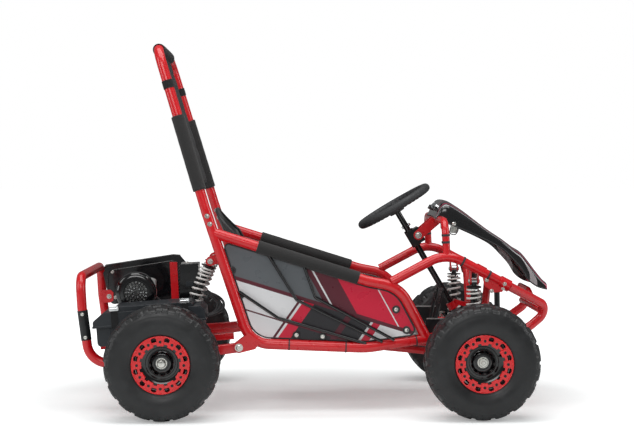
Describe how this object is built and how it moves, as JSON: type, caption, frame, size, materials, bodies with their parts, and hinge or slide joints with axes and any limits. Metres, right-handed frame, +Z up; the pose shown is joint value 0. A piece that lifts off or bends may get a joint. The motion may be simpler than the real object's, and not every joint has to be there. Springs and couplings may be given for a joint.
{
  "type": "off road go kart",
  "caption": "Off-road go kart with a bent-tube frame and roll hoop, side panels, lugged tyres, sprung front arms and a sprung rear carriage with motor and chain drive",
  "frame": {"origin": "on the ground, under the middle of the kart's overall length and width", "axes": "+X forwards, +Y to the driver's left, +Z up"},
  "size_m": [1.5158, 0.945, 1.167],
  "materials": {
    "red_paint": "gloss",
    "tyre_rubber": "matt",
    "wheel_black": "gloss",
    "black_metal": "satin",
    "foam": "matt",
    "bright_steel": "satin",
    "spring_white": "gloss",
    "floor_aluminium": "satin",
    "box_plastic": "matt",
    "seat_plastic": "satin",
    "cowl_plastic": "gloss",
    "panel_plastic": "satin",
    "grip_rubber": "matt"
  },
  "bodies": {
    "chassis": {"side_frame_right": "red_paint", "side_frame_left": "red_paint", "under_frame": "red_paint", "shock_beam": "red_paint", "roll_hoop": "red_paint", "hoop_sleeve_right": "foam", "hoop_sleeve_left": "foam", "rail_pad_right": "foam", "rail_pad_left": "foam", "headrest_pad": "foam", "front_frame": "red_paint", "front_bumper": "red_paint", "floor_pan": "floor_aluminium", "side_panel_right": "panel_plastic", "side_panel_left": "panel_plastic", "seat": "seat_plastic", "nose_cowl": "cowl_plastic"},
    "steering": {"steering_column": "black_metal", "steering_wheel": "grip_rubber"},
    "throttle": {"throttle_pedal": "black_metal"},
    "brake": {"brake_pedal": "black_metal"},
    "key": {"key_switch": "bright_steel"},
    "carriage": {"swingarm": "red_paint", "rear_bumper": "red_paint", "motor": "black_metal", "battery_box": "box_plastic", "battery_lid": "box_plastic", "controller": "black_metal", "rear_guard": "black_metal", "chain": "bright_steel"},
    "rear_wheels": {"rear_axle": "bright_steel", "sprocket": "bright_steel", "brake_disc": "bright_steel", "rear_tyre_right": "tyre_rubber", "rear_rim_right": "wheel_black", "rear_tyre_left": "tyre_rubber", "rear_rim_left": "wheel_black"},
    "pinion": {"motor_pinion": "bright_steel"},
    "front_arm_right": {"front_arm_right": "red_paint"},
    "knuckle_right": {"knuckle_right": "bright_steel"},
    "tie_rod_right": {"tie_rod_right": "bright_steel"},
    "front_wheel_right": {"front_tyre_right": "tyre_rubber", "front_rim_right": "wheel_black"},
    "front_shock_body_right": {"front_shock_right_body": "black_metal", "front_shock_right_spring": "spring_white"},
    "front_shock_rod_right": {"front_shock_right_rod": "bright_steel"},
    "rear_shock_body_right": {"rear_shock_right_body": "black_metal", "rear_shock_right_spring": "spring_white"},
    "rear_shock_rod_right": {"rear_shock_right_rod": "bright_steel"},
    "front_arm_left": {"front_arm_left": "red_paint"},
    "knuckle_left": {"knuckle_left": "bright_steel"},
    "tie_rod_left": {"tie_rod_left": "bright_steel"},
    "front_wheel_left": {"front_tyre_left": "tyre_rubber", "front_rim_left": "wheel_black"},
    "front_shock_body_left": {"front_shock_left_body": "black_metal", "front_shock_left_spring": "spring_white"},
    "front_shock_rod_left": {"front_shock_left_rod": "bright_steel"},
    "rear_shock_body_left": {"rear_shock_left_body": "black_metal", "rear_shock_left_spring": "spring_white"},
    "rear_shock_rod_left": {"rear_shock_left_rod": "bright_steel"}
  },
  "joints": [
    {"name": "steering_turn", "type": "hinge", "parent": "chassis", "child": "steering", "pos_m": [0.266, 0, 0.643], "axis": [-0.509, 0, 0.8607], "range_deg": [-24, 24]},
    {"name": "throttle_press", "type": "hinge", "parent": "chassis", "child": "throttle", "pos_m": [0.392, -0.072, 0.24], "axis": [0, 1, 0], "range_deg": [0, 20], "stiffness_Nm_per_rad": 4, "springref_deg": -20.05},
    {"name": "brake_press", "type": "hinge", "parent": "chassis", "child": "brake", "pos_m": [0.392, 0.072, 0.24], "axis": [0, 1, 0], "range_deg": [0, 20], "stiffness_Nm_per_rad": 8, "springref_deg": -20.05},
    {"name": "key_turn", "type": "hinge", "parent": "chassis", "child": "key", "pos_m": [0.40438, -0.062, 0.63993], "axis": [-0.8559, 0, 0.5171], "range_deg": [0, 90]},
    {"name": "rear_suspension", "type": "hinge", "parent": "chassis", "child": "carriage", "pos_m": [-0.241, 0, 0.2095], "axis": [0, 1, 0], "range_deg": [0, 12], "stiffness_Nm_per_rad": 1500, "springref_deg": -11.46},
    {"name": "rear_axle_spin", "type": "hinge", "parent": "carriage", "child": "rear_wheels", "pos_m": [-0.472, 0, 0.1775], "axis": [0, 1, 0], "continuous": true},
    {"name": "pinion_spin", "type": "hinge", "parent": "carriage", "child": "pinion", "pos_m": [-0.587, 0.062, 0.361], "axis": [0, 1, 0], "continuous": true},
    {"name": "front_suspension_right", "type": "hinge", "parent": "chassis", "child": "front_arm_right", "pos_m": [0.507, -0.135, 0.158], "axis": [-1, 0, 0], "range_deg": [0, 8], "stiffness_Nm_per_rad": 400, "springref_deg": -14.32},
    {"name": "steer_right", "type": "hinge", "parent": "front_arm_right", "child": "knuckle_right", "pos_m": [0.507, -0.298, 0.1775], "axis": [0, 0, 1], "range_deg": [-15.5, 15.5]},
    {"name": "front_wheel_spin_right", "type": "hinge", "parent": "knuckle_right", "child": "front_wheel_right", "pos_m": [0.507, -0.4, 0.1775], "axis": [0, 1, 0], "continuous": true},
    {"name": "tie_rod_turn_right", "type": "hinge", "parent": "knuckle_right", "child": "tie_rod_right", "pos_m": [0.459, -0.284, 0.2573], "axis": [0, 0, 1], "range_deg": [-15.5, 15.5]},
    {"name": "front_shock_tilt_right", "type": "hinge", "parent": "chassis", "child": "front_shock_body_right", "pos_m": [0.499, -0.268, 0.414], "axis": [-1, 0, 0], "range_deg": [-2.96, 0]},
    {"name": "front_shock_travel_right", "type": "slide", "parent": "front_shock_body_right", "child": "front_shock_rod_right", "axis": [0, -0.0862, 0.9963], "range_m": [0, 0.01489], "deforming": ["front_shock_right_spring"]},
    {"name": "rear_shock_tilt_right", "type": "hinge", "parent": "chassis", "child": "rear_shock_body_right", "pos_m": [-0.34, -0.105, 0.467], "axis": [0, 1, 0], "range_deg": [0, 1.62]},
    {"name": "rear_shock_travel_right", "type": "slide", "parent": "rear_shock_body_right", "child": "rear_shock_rod_right", "axis": [0.3835, 0, 0.9236], "range_m": [0, 0.04127], "deforming": ["rear_shock_right_spring"]},
    {"name": "front_suspension_left", "type": "hinge", "parent": "chassis", "child": "front_arm_left", "pos_m": [0.507, 0.135, 0.158], "axis": [1, 0, 0], "range_deg": [0, 8], "stiffness_Nm_per_rad": 400, "springref_deg": -14.32},
    {"name": "steer_left", "type": "hinge", "parent": "front_arm_left", "child": "knuckle_left", "pos_m": [0.507, 0.298, 0.1775], "axis": [0, 0, 1], "range_deg": [-15.5, 15.5]},
    {"name": "front_wheel_spin_left", "type": "hinge", "parent": "knuckle_left", "child": "front_wheel_left", "pos_m": [0.507, 0.4, 0.1775], "axis": [0, 1, 0], "continuous": true},
    {"name": "tie_rod_turn_left", "type": "hinge", "parent": "knuckle_left", "child": "tie_rod_left", "pos_m": [0.459, 0.284, 0.2573], "axis": [0, 0, 1], "range_deg": [-15.5, 15.5]},
    {"name": "front_shock_tilt_left", "type": "hinge", "parent": "chassis", "child": "front_shock_body_left", "pos_m": [0.499, 0.268, 0.414], "axis": [1, 0, 0], "range_deg": [-2.96, 0]},
    {"name": "front_shock_travel_left", "type": "slide", "parent": "front_shock_body_left", "child": "front_shock_rod_left", "axis": [0, 0.0862, 0.9963], "range_m": [0, 0.01489], "deforming": ["front_shock_left_spring"]},
    {"name": "rear_shock_tilt_left", "type": "hinge", "parent": "chassis", "child": "rear_shock_body_left", "pos_m": [-0.34, 0.105, 0.467], "axis": [0, 1, 0], "range_deg": [0, 1.62]},
    {"name": "rear_shock_travel_left", "type": "slide", "parent": "rear_shock_body_left", "child": "rear_shock_rod_left", "axis": [0.3835, 0, 0.9236], "range_m": [0, 0.04127], "deforming": ["rear_shock_left_spring"]}
  ],
  "couplings": [
    {"joint": "pinion_spin", "follows": "rear_axle_spin", "ratio": 5},
    {"joint": "steer_right", "follows": "steering_turn", "ratio": 0.62},
    {"joint": "tie_rod_turn_right", "follows": "steering_turn", "ratio": -0.62},
    {"joint": "front_shock_tilt_right", "follows": "front_suspension_right", "ratio": -0.33612},
    {"joint": "front_shock_travel_right", "follows": "front_suspension_right", "m_per_rad": 0.10452},
    {"joint": "rear_shock_tilt_right", "follows": "rear_suspension", "ratio": 0.1227},
    {"joint": "rear_shock_travel_right", "follows": "rear_suspension", "m_per_rad": 0.19319},
    {"joint": "steer_left", "follows": "steering_turn", "ratio": 0.62},
    {"joint": "tie_rod_turn_left", "follows": "steering_turn", "ratio": -0.62},
    {"joint": "front_shock_tilt_left", "follows": "front_suspension_left", "ratio": -0.33612},
    {"joint": "front_shock_travel_left", "follows": "front_suspension_left", "m_per_rad": 0.10452},
    {"joint": "rear_shock_tilt_left", "follows": "rear_suspension", "ratio": 0.1227},
    {"joint": "rear_shock_travel_left", "follows": "rear_suspension", "m_per_rad": 0.19319}
  ]
}
